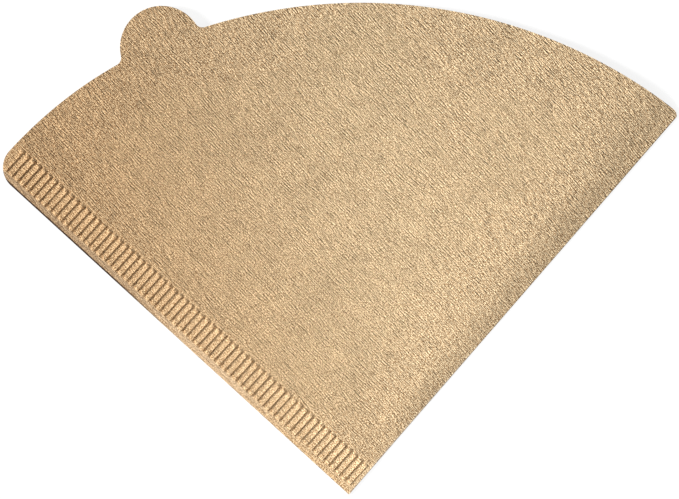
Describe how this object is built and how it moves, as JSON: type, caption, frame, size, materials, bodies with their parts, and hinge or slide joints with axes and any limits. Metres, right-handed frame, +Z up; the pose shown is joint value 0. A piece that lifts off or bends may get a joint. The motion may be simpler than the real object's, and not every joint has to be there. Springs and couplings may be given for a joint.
{
  "type": "cone coffee filter",
  "caption": "Folded paper filter for a coffee cone: a fan-shaped pocket of brown crepe paper with a crimped seam, a folded edge and a half-round tab on its mouth.",
  "frame": {"origin": "middle of the folded filter's box, on the surface that its back ply lies on", "axes": "+X across the fan from the crimped seam to the fold, +Y from the tip to the mouth, +Z up out of the front ply"},
  "size_m": [0.166, 0.1224, 0.0033],
  "materials": {
    "crepe_filter_paper": "matte, creped"
  },
  "bodies": {
    "root": {"folded_filter": "crepe_filter_paper"}
  },
  "joints": []
}
